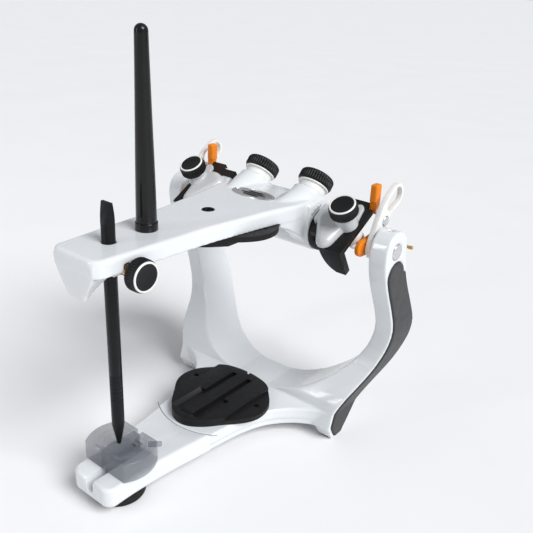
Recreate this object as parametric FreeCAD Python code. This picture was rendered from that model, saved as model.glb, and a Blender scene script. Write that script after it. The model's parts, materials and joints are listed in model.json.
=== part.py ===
"""Dental articulator with condyle balls on the lower frame and fossa boxes on the upper frame.

Millimetres. +X is the object's right, +Y points to the back, +Z is up. The origin is on the
table, below the middle of the object. Both jaw frames turn about the condylar axis, which
runs along X through AXIS_Y, AXIS_Z; most sizes are stated from that axis.
"""
import FreeCAD, Part
import math
import os
from FreeCAD import Vector

# ---------------------------------------------------------------- driving dimensions
AXIS_Y = 55.5            # condylar axis, behind the middle of the object
AXIS_Z = 123.5           # condylar axis above the table
CONDYLE_X = 55.0         # half of the 110 mm distance between the two condyle balls
TOP_Z = 142.0            # flat top of the upper frame
DECK_Z = 18.2            # flat top of the lower frame
PIN_REACH = 126.0        # condylar axis to incisal pin
PIN_Y = AXIS_Y - PIN_REACH
GAP = 0.3                # air between pieces that move past each other

# lower frame
POST_OUTER_X = 81.4
POST_INNER_X = 70.4
POST_CAP_R = 11.3
DECK_BOTTOM_Z = 7.0
BEAM_BOTTOM_Z = 5.5
SEAM_R = 39.2            # arc joint between frame and front beam
SEAM_Y = AXIS_Y - 45.8   # centre of that arc
BEAM_FRONT_Y = AXIS_Y - 146.3
GRIP_THICK = 3.0
GRIP_PROUD = 0.8
GRIP_TIP_R = 8.2
GRIP_TIP_Y = 1.6
FRONT_FOOT_R = 14.2
FOOT_X = 57.4
FOOT_Y = AXIS_Y - 11.9
TOE_Z = 1.2              # underside of the two rear toes
TOE_INNER_X = 52.0

# upper frame
ARM_THICK = 8.5
ARM_FRONT_Y = AXIS_Y - 146.5
BARREL_R = 12.8
BARREL_END_X = 31.4
RING_R = 12.0
RING_END_X = 34.3
BORE_Y = AXIS_Y - 60.5   # accessory bore through the arm
BORE_R = 3.3
SUPPORT_Y = AXIS_Y - 103.1
SUPPORT_TOP_Z = 235.0

# condyle assembly, along X from the ball outwards
BALL_R = 5.5
SHAFT_R = 2.5
ROCKER_X = (62.7, 65.3)
LEVER_X = (66.0, 69.0)

# fossa box, measured along (u, forwards) and away from (v, upwards) its sloping roof
BOX_TILT = 30.0
BOX_X = (48.0, 61.6)
ROOF_V = (10.7, 14.0)
ROOF_U = (-16.5, 22.3)
FRONT_WALL_U = 18.4
FRONT_WALL_V = -3.3
KNOB_U = 2.8
KNOB_FACE_V = 30.2

# hand knobs
KNOB_R = 7.9
KNOB_H = 7.2
REAR_KNOB_R = 10.3
REAR_KNOB_H = 6.9
REAR_KNOB_X = 19.9
REAR_KNOB_TILT = 42.0    # the clamp screws lean back from the vertical
REAR_KNOB_REL = (6.9, 21.9)

# incisal pin, table and mounting plates
PIN_R = 3.25
PIN_TIP_Z = 29.8
PIN_TOP_Z = 161.0
TABLE_R = 18.7
TABLE_TOP_Z = 29.6
TABLE_FRONT = 11.4       # flats of the table, ahead of and behind its centre
TABLE_BACK = 13.4
PEG_R = 1.5             # small stop peg in the rear right corner of the table
PEG_Z = 27.2
PEG_ROOT = 13.8         # distance from the table's middle to the bottom of the peg's bore
TABLE_Y = PIN_Y + 1.1
PLATE_Y = AXIS_Y - 52.3
PLATE_THICK = 4.9

ARM_BOTTOM_Z = TOP_Z - ARM_THICK
KNOB_BASE_V = KNOB_FACE_V - KNOB_H
BORE_DEPTH = 3.6
PLATE_CLEAR_R = 33.2     # the cheeks of the arm stay this far from the plate's centre
PLATE_CLEAR_H = 9.0
PIN_KNOB_X = 18.1        # inner face of the pin's lock knob
PIN_KNOB_Z = 132.1
PIN_SCALE_Z = 58.0
KEY_SLOT_W = 5.5         # guide slot in the front beam
RAIL_W = 4.4
TIE_Y = (AXIS_Y - 97.0, AXIS_Y - 66.0)
RIVET = (5.8, 13.0)      # (y, z) from the condylar axis
STOP_PIN = (15.7, -1.9)
LOCK_PIVOT = (7.7, 17.0)

X_AXIS = Vector(1, 0, 0)
Y_AXIS = Vector(0, 1, 0)
Z_AXIS = Vector(0, 0, 1)
AXIS_POINT = Vector(0, AXIS_Y, AXIS_Z)


# ---------------------------------------------------------------- helpers
def cylinder(radius, start, direction, length):
    return Part.makeCylinder(radius, length, start, direction)


def block(x, y, z):
    """A box given by its (low, high) limits along X, Y and Z."""
    low = Vector(x[0], y[0], z[0])
    return Part.makeBox(x[1] - x[0], y[1] - y[0], z[1] - z[0], low)


def path(points, smooth=False):
    if smooth:
        curve = Part.BSplineCurve()
        curve.interpolate(points)
        return [curve.toShape()]
    return [Part.makeLine(a, b) for a, b in zip(points, points[1:])]


def prism(edges, extrusion):
    wire = Part.Wire(Part.__sortEdges__(edges))
    return Part.Face(wire).extrude(extrusion)


def polygon_prism(points, extrusion):
    return prism(path(points + points[:1]), extrusion)


def fuse(shapes):
    return shapes[0].multiFuse(shapes[1:]).removeSplitter()


def round_edges(shape, radius, wanted):
    """Fillet every edge for which wanted(edge) is true."""
    edges = [edge for edge in shape.Edges if wanted(edge)]
    return shape.makeFillet(radius, edges)


def mirrored(shape):
    return shape.mirror(Vector(0, 0, 0), X_AXIS)


def at_axis(shape, tilt=0.0):
    """Turn a shape about the condylar axis's direction and carry it to that axis."""
    turned = shape.copy()
    turned.rotate(Vector(0, 0, 0), X_AXIS, tilt)
    turned.translate(AXIS_POINT)
    return turned


def fluted_prism(radius, depth, count, start_z, height):
    """A knurled cylinder on +Z, its flutes cut as shallow vees."""
    points = []
    for i in range(2 * count):
        r = radius if i % 2 == 0 else radius - depth
        angle = math.pi * i / count
        points.append(Vector(r * math.cos(angle), r * math.sin(angle), start_z))
    return polygon_prism(points, Vector(0, 0, height))


def aimed(shape, direction, place):
    """Carry a shape built on +Z to a place, with its Z along direction."""
    moved = shape.copy()
    turn = FreeCAD.Rotation(Z_AXIS, direction)
    moved.Placement = FreeCAD.Placement(place, turn)
    return moved


# ---------------------------------------------------------------- lower frame
def side_edge(points, x):
    """A smooth edge in the side view, from (distance from axis, height) pairs."""
    return path([Vector(x, AXIS_Y + y, z) for y, z in points], smooth=True)


POST_FRONT = [(-11.3, 123.5), (-3.3, 95.7), (5.2, 76.0), (6.8, 62.0),
              (2.2, 46.2), (-12.0, 31.0), (-18.2, 18.7)]
POST_REAR = [(11.3, 123.5), (18.0, 101.0), (29.0, 81.0), (35.5, 60.0),
             (31.5, 44.5), (15.5, 25.5), (4.0, 12.5), (-7.0, TOE_Z)]
TOE = [(-21.0, 9.0), (-16.5, TOE_Z)]


def side_profile(inset):
    """The post and bow seen from the side, drawn inwards by inset, as a prism along X."""
    x = -POST_OUTER_X - 5
    lift = inset * 0.4
    front = [(y + inset, z) for y, z in POST_FRONT]
    rear = [(y - inset, z) for y, z in POST_REAR[:-1]] + [(POST_REAR[-1][0] - lift, TOE_Z + lift)]
    cap_r = POST_CAP_R - inset
    cap = Part.Arc(Vector(x, AXIS_Y - cap_r, AXIS_Z), Vector(x, AXIS_Y, AXIS_Z + cap_r),
                   Vector(x, AXIS_Y + cap_r, AXIS_Z)).toShape()
    toe = [front[-1]] + [(y + inset, z + lift) for y, z in TOE] + [rear[-1]]
    toe_edges = path([Vector(x, AXIS_Y + y, z) for y, z in toe])
    edges = side_edge(front, x) + side_edge(rear, x) + [cap] + toe_edges
    return prism(edges, Vector(2 * POST_OUTER_X + 10, 0, 0))


OUTER_BEND = [(POST_OUTER_X, 82.0), (80.1, 65.0), (76.8, 53.0), (72.0, 40.0),
              (66.5, 28.0), (62.6, 18.5)]


def bow_band(shrink, thickness=None):
    """The U of posts and bow in the front view, as a prism along Y.

    With a thickness it is only the skin of that thickness along the outside.
    """
    y = AXIS_Y - 60
    top = AXIS_Z + 20
    half = []
    for sign in (1, -1):
        outside = [Vector(sign * (x - shrink), y, z) for x, z in OUTER_BEND]
        first, last = outside[0], outside[-1]
        edges = path(outside, smooth=True)
        edges += path([first, Vector(first.x, y, top)])
        if thickness:
            inside = [p - Vector(sign * thickness, 0, 0) for p in outside]
            edges += path(inside, smooth=True)
            edges += path([inside[0], Vector(inside[0].x, y, top), Vector(first.x, y, top)])
            edges += path([last, Vector(last.x, y, 0), Vector(inside[-1].x, y, 0), inside[-1]])
            half.append(prism(edges, Vector(0, 130, 0)))
        else:
            edges += path([Vector(first.x, y, top), Vector(0, y, top), Vector(0, y, 0),
                           Vector(last.x, y, 0), last])
            half.append(prism(edges, Vector(0, 130, 0)))
    return half


def bow_opening():
    """The space between the posts: straight above, a half ellipse below."""
    y = AXIS_Y - 70
    spring_z = 78.0
    depth = spring_z - DECK_Z + 1.0
    ellipse = Part.Ellipse(Vector(POST_INNER_X, y, spring_z), Vector(0, y, spring_z - depth),
                           Vector(0, y, spring_z))
    arc = Part.Arc(ellipse, math.pi, 2 * math.pi).toShape()
    if arc.valueAt((arc.FirstParameter + arc.LastParameter) / 2).z > spring_z:
        arc = Part.Arc(ellipse, 0, math.pi).toShape()
    left, right = Vector(-POST_INNER_X, y, spring_z), Vector(POST_INNER_X, y, spring_z)
    rise = Vector(0, 0, 80)
    edges = [arc] + path([right, right + rise, left + rise, left])
    return prism(edges, Vector(0, 150, 0))


def base_outline(z, height, inset=0.0):
    """Plan of bow and beam together, as a prism from z upwards."""
    side = [(15.0, -140.0), (17.6, -102.0), (21.0, -79.0), (24.4, -58.0), (29.5, -42.0),
            (40.0, -28.0), (51.0, -20.5), (61.5, -18.2)]
    right = [Vector(x - inset, AXIS_Y + y, z) for x, y in side]
    left = [Vector(-p.x, p.y, z) for p in right]
    front_y = BEAM_FRONT_Y + inset
    corner = 6.0
    nose = [Vector(right[0].x - corner, front_y, z), Vector(left[0].x + corner, front_y, z)]
    edges = path(right, smooth=True) + path(left, smooth=True)
    for end, tip in ((right[0], nose[0]), (left[0], nose[1])):
        bulge = Vector(end.x - math.copysign(corner * 0.25, end.x), front_y + corner * 0.3, z)
        edges.append(Part.Arc(end, bulge, tip).toShape())
    edges += path(nose)
    back = [right[-1], Vector(right[-1].x, AXIS_Y + 2.0, z), Vector(0, AXIS_Y + 7.7, z),
            Vector(left[-1].x, AXIS_Y + 2.0, z), left[-1]]
    edges += path(back[:2])
    edges += path(back[1:4], smooth=True)
    edges += path(back[3:])
    return prism(edges, Vector(0, 0, height))


def behind_seam():
    """Everything behind the arc joint of the front beam."""
    disc = cylinder(SEAM_R, Vector(0, SEAM_Y, -5), Z_AXIS, 40)
    rest = block((-90, 90), (AXIS_Y - 79.0, AXIS_Y + 60), (-5, 35))
    return disc.fuse(rest)


def lower_frame():
    bow = fuse(bow_band(0.0)).common(side_profile(0.0)).cut(bow_opening())
    deck = fuse([base_outline(11.5, DECK_Z - 11.5), base_outline(DECK_BOTTOM_Z, 4.5, 0.9)])
    deck = deck.common(behind_seam())
    below_deck = block((-TOE_INNER_X, TOE_INNER_X), (-50, 150), (-1, DECK_BOTTOM_Z))
    frame = fuse([bow.cut(below_deck), deck])
    skins = bow_band(-5.0, 5.0 + GRIP_THICK - GRIP_PROUD)
    recess = [skin.common(side_profile(2.2)) for skin in skins]
    frame = frame.cut(fuse(recess).cut(above_grips()))
    for s in (1, -1):
        bore = cylinder(SHAFT_R + 0.05, Vector(s * 60, AXIS_Y, AXIS_Z), Vector(s, 0, 0), 30)
        disc_seat = cylinder(4.7, Vector(s * (POST_OUTER_X - 1.2), AXIS_Y, AXIS_Z), Vector(s, 0, 0), 5)
        screw_bore = cylinder(1.5, Vector(s * 76, AXIS_Y, AXIS_Z + 4), Z_AXIS, 10)
        frame = frame.cut(bore).cut(disc_seat).cut(screw_bore)
    magnet_seat = cylinder(13.0, Vector(0, PLATE_Y, DECK_Z - 4.0), Z_AXIS, 10)
    screw_bore = cylinder(2.0, Vector(0, PLATE_Y, 0), Z_AXIS, 30)
    return frame.cut(magnet_seat).cut(screw_bore).cut(tie_screw_bores())


def above_grips():
    """The space over the grips, whose upper ends are rounded like a fingertip."""
    tip_z = AXIS_Z - 6.5
    space = block((-100, 100), (0, 200), (tip_z - GRIP_TIP_R, 200))
    tip = cylinder(GRIP_TIP_R, Vector(-100, AXIS_Y + GRIP_TIP_Y, tip_z - GRIP_TIP_R), X_AXIS, 200)
    return space.cut(tip)


def front_beam():
    """The removable nose of the lower frame that carries the incisal table."""
    beam = base_outline(BEAM_BOTTOM_Z, DECK_Z - BEAM_BOTTOM_Z)
    front = AXIS_Y - 100
    beam = round_edges(beam, 3.6, lambda e: e.BoundBox.ZMax < BEAM_BOTTOM_Z + 0.1
                       and e.BoundBox.YMin < front)
    beam = round_edges(beam, 2.0, lambda e: e.BoundBox.ZMin > DECK_Z - 0.1 and e.BoundBox.YMin < front)
    beam = beam.cut(behind_seam())
    floor_z = DECK_Z - 5.0
    half = KEY_SLOT_W / 2
    start_y, end_y = BEAM_FRONT_Y - 5, TABLE_Y + TABLE_BACK - 1
    slot = block((-half, half), (start_y, end_y), (floor_z, DECK_Z + 5))
    trough = cylinder(half, Vector(0, start_y, floor_z), Y_AXIS, end_y - start_y)
    recess = block((-8.2, 8.2), (TIE_Y[0] - 0.2, TIE_Y[1] + 10), (0, DECK_BOTTOM_Z))
    return beam.cut(slot.fuse(trough)).cut(recess).cut(tie_screw_bores())


def tie_screw_places():
    return [Vector(x, y, 0) for y in (TIE_Y[0] + 6, TIE_Y[1] - 6) for x in (-4.5, 4.5)]


def tie_screw_bores():
    return fuse([cylinder(1.5, p + Vector(0, 0, 1), Z_AXIS, 12) for p in tie_screw_places()])


def tie_plate():
    """The strip underneath that joins beam and frame across the arc joint."""
    strip = block((-8.0, 8.0), TIE_Y, (DECK_BOTTOM_Z - 2.5, DECK_BOTTOM_Z))
    heads = [cylinder(2.9, p, Z_AXIS, DECK_BOTTOM_Z - 1.2) for p in tie_screw_places()]
    return strip.cut(fuse(heads)).cut(tie_screw_bores())


def tie_screws():
    screws = []
    for p in tie_screw_places():
        head = cylinder(2.8, p + Vector(0, 0, DECK_BOTTOM_Z - 2.4), Z_AXIS, 1.2)
        thread = cylinder(1.5, p + Vector(0, 0, DECK_BOTTOM_Z - 1.2), Z_AXIS, 7.0)
        socket = cylinder(1.2, p, Z_AXIS, DECK_BOTTOM_Z - 1.6)
        screws.append(head.fuse(thread).cut(socket))
    return Part.makeCompound(screws)


def side_grip(side):
    """The soft pad let into the outside of one post."""
    skins = bow_band(-GRIP_PROUD, GRIP_THICK)
    skin = skins[0] if side > 0 else skins[1]
    return skin.common(side_profile(2.2)).cut(above_grips())


def front_foot():
    foot = cylinder(FRONT_FOOT_R, Vector(0, PIN_Y - 1.5, 0), Z_AXIS, BEAM_BOTTOM_Z)
    return round_edges(foot, 1.5, lambda e: e.BoundBox.ZMax < 0.1)


def rear_foot_pads():
    pads = []
    for s in (1, -1):
        pad = cylinder(3.8, Vector(s * FOOT_X, FOOT_Y, 0), Z_AXIS, TOE_Z)
        pads.append(round_edges(pad, 0.5, lambda e: e.BoundBox.ZMax < 0.1))
    return Part.makeCompound(pads)


# ---------------------------------------------------------------- mounting plates and magnets
PLATE_HALF = [(0, -30.6), (6.0, -29.2), (11.0, -25.8), (15.0, -21.8), (19.5, -16.0), (26.3, -8.0),
              (31.0, 1.0), (31.2, 9.0), (28.5, 16.5), (23.5, 22.5), (18.0, 27.5), (9.0, 30.6), (0, 31.4)]


def mounting_plate():
    """A cast-holding plate on z = 0: a raised middle with a guide bar between lower side flanges."""
    right = [Vector(x, y, 0) for x, y in PLATE_HALF]
    left = [Vector(-x, y, 0) for x, y in reversed(PLATE_HALF[1:-1])]
    outline = Part.BSplineCurve()
    outline.interpolate(right + left, PeriodicFlag=True)
    whole = prism([outline.toShape()], Vector(0, 0, PLATE_THICK))
    floor = PLATE_THICK - 2.2
    top = PLATE_THICK + 1
    cuts = [block((-1.2, 1.2), (29.5, 40), (-1, top))]
    for s in (1, -1):
        cuts.append(block(sorted((s * 20.5, s * 40)), (-40, 40), (PLATE_THICK - 2.0, top)))
        cuts.append(block(sorted((s * 4.2, s * 7.7)), (-1.0, 25.0), (floor, top)))
        cuts.append(block(sorted((s * 4.2, s * 9.7)), (-25.0, -1.0), (floor, top)))
        slope = [Vector(s * 9.7, -25.0, floor), Vector(s * 12.5, -25.0, top), Vector(s * 9.7, -25.0, top)]
        cuts.append(polygon_prism(slope, Vector(0, 24.0, 0)))
        cuts.append(cylinder(1.6, Vector(s * 24.5, 9.0, -1), Z_AXIS, top + 2))
    ramp = [Vector(-4.3, -23.0, PLATE_THICK + 0.1), Vector(-4.3, -26.0, PLATE_THICK + 0.1),
            Vector(-4.3, -26.0, floor)]
    cuts.append(polygon_prism(ramp, Vector(8.6, 0, 0)))
    return whole.cut(fuse(cuts))


def magnet_disc():
    """A pot magnet filling the seat below z = 0, counterbored for its screw."""
    disc = cylinder(12.95, Vector(0, 0, -4.0), Z_AXIS, 3.95)
    return disc.cut(cylinder(2.0, Vector(0, 0, -5), Z_AXIS, 10)).cut(
        cylinder(3.8, Vector(0, 0, -2.6), Z_AXIS, 5))


def magnet_screw(length):
    head = cylinder(3.7, Vector(0, 0, -2.6), Z_AXIS, 2.2)
    thread = cylinder(1.95, Vector(0, 0, -2.6 - length), Z_AXIS, length)
    slot = block((-3.7, 3.7), (-0.5, 0.5), (-1.2, 1))
    return head.fuse(thread).cut(slot)


def on_deck(shape):
    return aimed(shape, Z_AXIS, Vector(0, PLATE_Y, DECK_Z))


def under_arm(shape):
    """Turn a shape over and hang it below the arm of the upper frame."""
    turned = shape.copy()
    turned.rotate(Vector(0, 0, 0), Y_AXIS, 180)
    turned.translate(Vector(0, PLATE_Y, ARM_BOTTOM_Z))
    return turned


# ---------------------------------------------------------------- incisal table
def table_disc(radius, front, back, z, height):
    """A round slab with a flat in front and behind, centred on the table."""
    disc = cylinder(radius, Vector(0, TABLE_Y, z), Z_AXIS, height)
    return disc.common(block((-30, 30), (TABLE_Y - front, TABLE_Y + back), (z - 1, z + height + 1)))


def incisal_table():
    base_z = DECK_Z + 0.1
    body = table_disc(TABLE_R, TABLE_FRONT, TABLE_BACK, base_z, TABLE_TOP_Z - base_z)
    body = round_edges(body, 0.8, lambda e: e.BoundBox.ZMin > TABLE_TOP_Z - 0.1)
    dish = [table_disc(r, r * 0.72, r * 0.72, TABLE_TOP_Z - depth, depth + 1)
            for r, depth in ((13.2, 1.2), (10.4, 2.6), (7.6, 4.0))]
    half = RAIL_W / 2
    slot = block((-half, half), (TABLE_Y - 20, TABLE_Y + 20), (0, 40))
    peg_bore = peg_cylinder(PEG_R + 0.05, PEG_ROOT, TABLE_R + 5)
    keeper = block((-half - 1, half + 1), (TABLE_Y + TABLE_BACK - 2.5, TABLE_Y + 20), (0, base_z + 3))
    return body.cut(fuse(dish)).cut(slot.cut(keeper)).cut(peg_bore)


def table_rail():
    """The guide strip through the table, with its key in the beam's slot below."""
    half = RAIL_W / 2
    z_low, z_high = DECK_Z + 0.1, PIN_TIP_Z - GAP
    strip = block((-half, half), (TABLE_Y - TABLE_FRONT, TABLE_Y + TABLE_BACK - 2.5), (z_low, z_high))
    runway = block((-0.8, 0.8), (TABLE_Y - 20, TABLE_Y + 20), (z_high - 0.5, z_high + 1))
    pin_rest = cylinder(3.5, Vector(0, PIN_Y, z_high - 1), Z_AXIS, 3)
    key_half = KEY_SLOT_W / 2 - 0.15
    key = block((-key_half, key_half), (TABLE_Y - 9.0, TABLE_Y + 6.0), (DECK_Z - 4.5, z_low))
    return strip.cut(runway.cut(pin_rest)).fuse(key).removeSplitter()


def peg_cylinder(radius, inner_reach, outer_reach):
    """A cylinder that lies on the peg's line, out from the table's middle towards its rear corner."""
    corner_x = math.sqrt(TABLE_R ** 2 - TABLE_BACK ** 2)
    outward = Vector(corner_x, TABLE_BACK, 0) * (1 / TABLE_R)
    start = Vector(0, TABLE_Y, PEG_Z) + outward * inner_reach
    return cylinder(radius, start, outward, outer_reach - inner_reach)


def table_peg():
    peg = peg_cylinder(PEG_R, PEG_ROOT + 0.2, TABLE_R + 2.4)
    return round_edges(peg, 1.0, lambda e: e.CenterOfMass.x > 13.5)


# ---------------------------------------------------------------- condyles and their levers
def condyle_shaft(side):
    """The ball and its shaft, turned in one piece about the condylar axis."""
    neck = math.sqrt(BALL_R ** 2 - SHAFT_R ** 2)
    end = POST_OUTER_X - 1.5 - CONDYLE_X
    inner, outer = Vector(-BALL_R, 0, 0), Vector(end, 0, 0)
    ball_arc = Part.Arc(inner, Vector(0, BALL_R, 0), Vector(neck, SHAFT_R, 0)).toShape()
    edges = [ball_arc] + path([Vector(neck, SHAFT_R, 0), Vector(end, SHAFT_R, 0), outer, inner])
    profile = Part.Face(Part.Wire(Part.__sortEdges__(edges)))
    whole = profile.revolve(Vector(0, 0, 0), X_AXIS, 360)
    whole.translate(Vector(CONDYLE_X, AXIS_Y, AXIS_Z))
    return whole if side > 0 else mirrored(whole)


def both_sides(shape):
    return Part.makeCompound([shape, mirrored(shape)])


def post_discs():
    disc = cylinder(4.65, Vector(POST_OUTER_X - 1.2, AXIS_Y, AXIS_Z), X_AXIS, 1.5)
    disc = round_edges(disc, 0.35, lambda e: e.BoundBox.XMin > POST_OUTER_X + 0.2)
    return both_sides(disc)


def post_set_screws():
    screw = cylinder(1.5, Vector(76, AXIS_Y, AXIS_Z + 4), Z_AXIS, 6.4)
    return both_sides(screw.cut(cylinder(0.8, Vector(76, AXIS_Y, AXIS_Z + 8.6), Z_AXIS, 5)))


def shaft_washers():
    start_x = LEVER_X[1] + 0.2
    washer = cylinder(7.3, Vector(start_x, AXIS_Y, AXIS_Z), X_AXIS, POST_INNER_X - start_x)
    return both_sides(washer.cut(cylinder(SHAFT_R + 0.05, Vector(60, AXIS_Y, AXIS_Z), X_AXIS, 20)))


def link_plate(ends, x):
    """A plate across X limits x that hulls two rounded ends given as (y, z, radius)."""
    (y1, z1, r1), (y2, z2, r2) = ends
    distance = math.hypot(y2 - y1, z2 - z1)
    heading = math.atan2(z2 - z1, y2 - y1)
    spread = math.acos((r1 - r2) / distance)
    corners = []
    for y, z, r, sign in ((y1, z1, r1, 1), (y2, z2, r2, 1), (y2, z2, r2, -1), (y1, z1, r1, -1)):
        angle = heading + sign * spread
        corners.append(Vector(x[0], y + r * math.cos(angle), z + r * math.sin(angle)))
    length = x[1] - x[0]
    web = polygon_prism(corners, Vector(length, 0, 0))
    rounds = [cylinder(r, Vector(x[0], y, z), X_AXIS, length) for y, z, r in ends]
    return fuse([web] + rounds)


def quick_lever(side):
    """The white lever on the condylar axis, with its finger loop and the lug of its stop pin."""
    hub, shoulder, elbow = (0, 0, 7.7), (3.4, 10.5, 6.4), (6.2, 18.6, 5.2)
    loop_low, loop_high = (10.4, 21.6, 6.0), (16.8, 25.2, 6.4)
    chain = [(hub, shoulder), (shoulder, elbow), (elbow, loop_low), (loop_low, loop_high)]
    arm = fuse([link_plate(pair, LEVER_X) for pair in chain])
    lug = link_plate(((0, 0, 6.0), STOP_PIN + (2.6,)), LEVER_X)
    slot_ends = (loop_low[:2] + (4.2,), loop_high[:2] + (4.8,))
    slot = link_plate(slot_ends, (LEVER_X[0] - 1, LEVER_X[1] + 1))
    span = LEVER_X[1] - LEVER_X[0] + 2
    bores = [cylinder(r, Vector(LEVER_X[0] - 1, y, z), X_AXIS, span)
             for y, z, r in ((0, 0, SHAFT_R + 0.05), RIVET + (1.4,), STOP_PIN + (1.0,))]
    lever = fuse([arm, lug]).cut(slot).cut(fuse(bores))
    lever = at_axis(lever)
    return lever if side > 0 else mirrored(lever)


def lever_rivet(side):
    start_x = LEVER_X[0] + 0.3
    shank = cylinder(1.4, Vector(start_x, RIVET[0], RIVET[1]), X_AXIS, LEVER_X[1] - start_x)
    head = cylinder(3.0, Vector(LEVER_X[1], RIVET[0], RIVET[1]), X_AXIS, 0.9)
    head = round_edges(head, 0.6, lambda e: e.BoundBox.XMin > LEVER_X[1] + 0.8)
    rivet = at_axis(shank.fuse(head))
    return rivet if side > 0 else mirrored(rivet)


def stop_pin(side):
    pin = cylinder(1.0, Vector(LEVER_X[0], STOP_PIN[0], STOP_PIN[1]), X_AXIS, 16.5)
    neck = cylinder(1.5, Vector(LEVER_X[0], STOP_PIN[0], STOP_PIN[1]), X_AXIS, 20)
    neck = neck.cut(cylinder(0.7, Vector(LEVER_X[0], STOP_PIN[0], STOP_PIN[1]), X_AXIS, 20))
    groove = neck.common(block((79.2, 80.0), (-50, 50), (-50, 50)))
    pin = at_axis(round_edges(pin, 0.4, lambda e: e.BoundBox.XMin > 82.0).cut(groove))
    return pin if side > 0 else mirrored(pin)


def rocker(side):
    """The short orange cam lever next to the ball."""
    hub, nose, tail = (0, 0, 5.2), (-9.2, -0.3, 4.3), (13.0, 5.9, 1.9)
    body = fuse([link_plate((hub, nose), ROCKER_X), link_plate((hub, tail), ROCKER_X)])
    body = body.cut(cylinder(SHAFT_R + 0.05, Vector(50, 0, 0), X_AXIS, 30))
    cam = at_axis(body)
    return cam if side > 0 else mirrored(cam)


# ---------------------------------------------------------------- fossa boxes
def box_block(x, u, v):
    """A block in the sloping frame of the box, before it is tilted."""
    return block(x, (-u[1], -u[0]), v)


def box_cylinder(radius, x, u, v):
    """A cylinder that stands on the roof."""
    return cylinder(radius, Vector(x, -u, v[0]), Z_AXIS, v[1] - v[0])


def box_link(ends, v):
    """A plate lying on the roof that hulls two rounded ends given as (x, u, radius)."""
    turned = link_plate([(-u, x, r) for x, u, r in ends], (v[0], v[1]))
    turned.rotate(Vector(0, 0, 0), Y_AXIS, -90)
    return turned.mirror(Vector(0, 0, 0), X_AXIS)


def placed_box(shape, side):
    shape = at_axis(shape, BOX_TILT)
    return shape if side > 0 else mirrored(shape)


def lock_pivot():
    """Local place (y, z) of the centric lock lever's pin, before the tilt."""
    tilt = math.radians(BOX_TILT)
    y, z = LOCK_PIVOT
    return (y * math.cos(tilt) + z * math.sin(tilt), -y * math.sin(tilt) + z * math.cos(tilt))


def wall_corner():
    """What the long curve at the inner lower corner of the front wall leaves out."""
    curve = [(48.0, 11.0), (48.6, 6.5), (50.2, 2.0), (52.6, -1.2), (55.6, FRONT_WALL_V)]
    points = [Vector(x, -30, v) for x, v in curve]
    corner = Vector(BOX_X[0] - 5, -30, FRONT_WALL_V - 5)
    rest = [points[-1], Vector(points[-1].x, -30, corner.z), corner, Vector(corner.x, -30, points[0].z),
            points[0]]
    return prism(path(points, smooth=True) + path(rest), Vector(0, 30, 0))


def fossa_box(side):
    """The black box: a sloping roof and a wall in front of the ball."""
    roof = box_block(BOX_X, ROOF_U, ROOF_V)
    wall = box_block(BOX_X, (FRONT_WALL_U, ROOF_U[1]), (FRONT_WALL_V, ROOF_V[1]))
    wall = wall.cut(wall_corner())
    shelf = box_block((37.0, BOX_X[0] + 1), (-13.0, 14.0), ROOF_V)
    pivot_y, pivot_z = lock_pivot()
    knuckle = cylinder(2.8, Vector(51.0, pivot_y, pivot_z), X_AXIS, 7.2)
    body = fuse([roof, wall, shelf, knuckle])
    notch = box_block((58.2, 70), (-30, -11.8), (0, 30))
    pin_bore = cylinder(1.25, Vector(40, pivot_y, pivot_z), X_AXIS, 30)
    spindle_bore = box_cylinder(2.05, CONDYLE_X, KNOB_U, (0, 30))
    body = body.cut(notch).cut(pin_bore).cut(spindle_bore)
    return placed_box(body, side)


def fossa_insert(side):
    """The hard seat above the ball with the Bennett wing on its inner side."""
    seat = (BALL_R + GAP, ROOF_V[0] - GAP)
    disc = box_cylinder(6.6, CONDYLE_X, KNOB_U, seat)
    web = box_block((CONDYLE_X - 9.5, CONDYLE_X), (KNOB_U - 5, KNOB_U + 5), seat)
    wing = box_block((CONDYLE_X - 9.5, CONDYLE_X - 7.0), (KNOB_U - 12, KNOB_U + 12), (-3.0, seat[1]))
    wing = round_edges(wing, 3.0, lambda e: e.BoundBox.ZMax < -2.9 and e.BoundBox.YLength < 0.1)
    return placed_box(fuse([disc, web, wing]), side)


# rounded ends (x, u, radius) of the cover over the roof, from the trunnion to the front corner
LOBE_ENDS = [(41.6, 1.0, 5.0), (46.9, 3.2, 9.6), (49.6, 17.6, 4.9)]


def housing_lobe():
    """The domed cover that fans out over the roof from the trunnion to the front corner."""
    links = []
    for pair in zip(LOBE_ENDS, LOBE_ENDS[1:]):
        link = box_link(pair, (ROOF_V[1], ROOF_V[1] + 5.2))
        links.append(round_edges(link, 4.2, lambda e: e.BoundBox.ZMin > ROOF_V[1] + 5.1))
    return fuse(links)


def box_housing(side):
    """The light grey carrier of the box, from its trunnion in the barrel to the knob's boss."""
    inner, outer = RING_END_X + GAP, 36.7
    trunnion = cylinder(6.0, Vector(18.0, 0, 0), X_AXIS, 19.0)
    flange = cylinder(9.6, Vector(inner, 0, 0), X_AXIS, outer - inner)
    column = box_block((inner, outer), (-6.0, 6.0), (0.0, ROOF_V[1] + 1))
    dome = housing_lobe()
    boss = fuse([box_cylinder(5.8, CONDYLE_X, KNOB_U, (ROOF_V[1], KNOB_BASE_V - GAP)),
                 box_cylinder(6.7, CONDYLE_X, KNOB_U, (KNOB_BASE_V - 1.3, KNOB_BASE_V - GAP))])
    rear_arm = box_link(((CONDYLE_X, KNOB_U, 5.0), (55.6, -9.0, 2.6)), (ROOF_V[1], 16.6))
    root = box_block((inner, 42.0), (-6.0, 6.0), (ROOF_V[1], 16.8))
    root = round_edges(root, 2.0, lambda e: e.BoundBox.ZMin > 16.7)
    body = fuse([trunnion, flange, column, dome, boss, rear_arm, root])
    shelf_space = box_block((36.9, 70), (-40, 22.3), (9, ROOF_V[1]))
    spindle_bore = box_cylinder(2.05, CONDYLE_X, KNOB_U, (0, 40))
    return placed_box(body.cut(shelf_space).cut(spindle_bore), side)


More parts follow.
